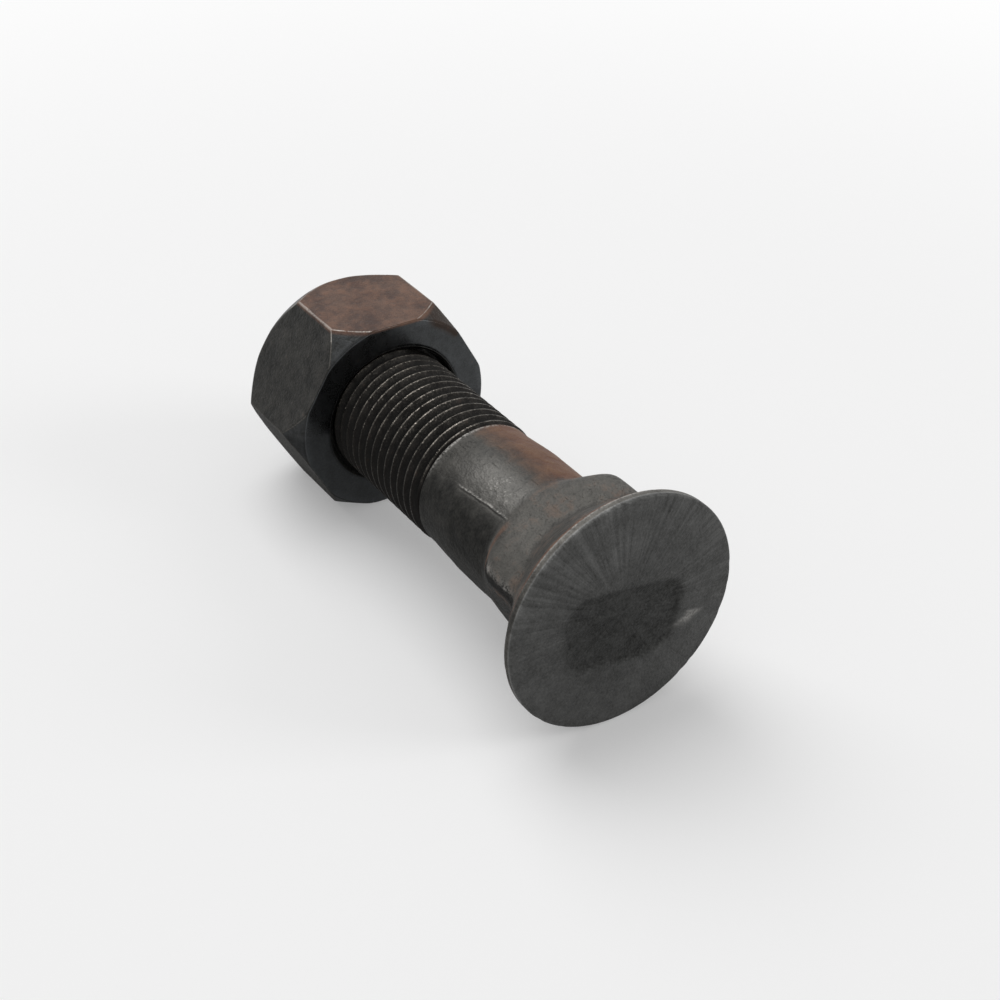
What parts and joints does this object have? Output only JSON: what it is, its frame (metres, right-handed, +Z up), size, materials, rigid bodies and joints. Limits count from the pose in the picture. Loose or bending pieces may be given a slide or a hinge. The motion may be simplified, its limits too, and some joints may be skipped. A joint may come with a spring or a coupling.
{
  "type": "bucket tooth bolt",
  "caption": "Flat countersunk-head bolt with a square neck, plain shank and threaded end, and a chamfered hex nut run on it, for holding a wear tooth on a digging bucket.",
  "frame": {"origin": "centre of the bounding box's underside, on the floor the bolt lies on", "axes": "+X towards the head's flat face, the threaded end to -X, +Z up; the bolt's axis lies in the XZ plane, tilted 2.04 degrees nose-up towards the head"},
  "size_m": [0.0626, 0.0276, 0.0276],
  "materials": {
    "bolt_steel": "dark forged alloy steel, as forged, worn grey with light rust",
    "nut_steel": "dark forged alloy steel, thin brown rust film on its upper flats"
  },
  "bodies": {
    "bolt": {"bolt": "bolt_steel"},
    "nut": {"nut": "nut_steel"}
  },
  "joints": [
    {"name": "nut_travel", "type": "slide", "parent": "bolt", "child": "nut", "axis": [-0.9994, 0, -0.0355], "range_m": [-0.01693, 0.01693]}
  ]
}
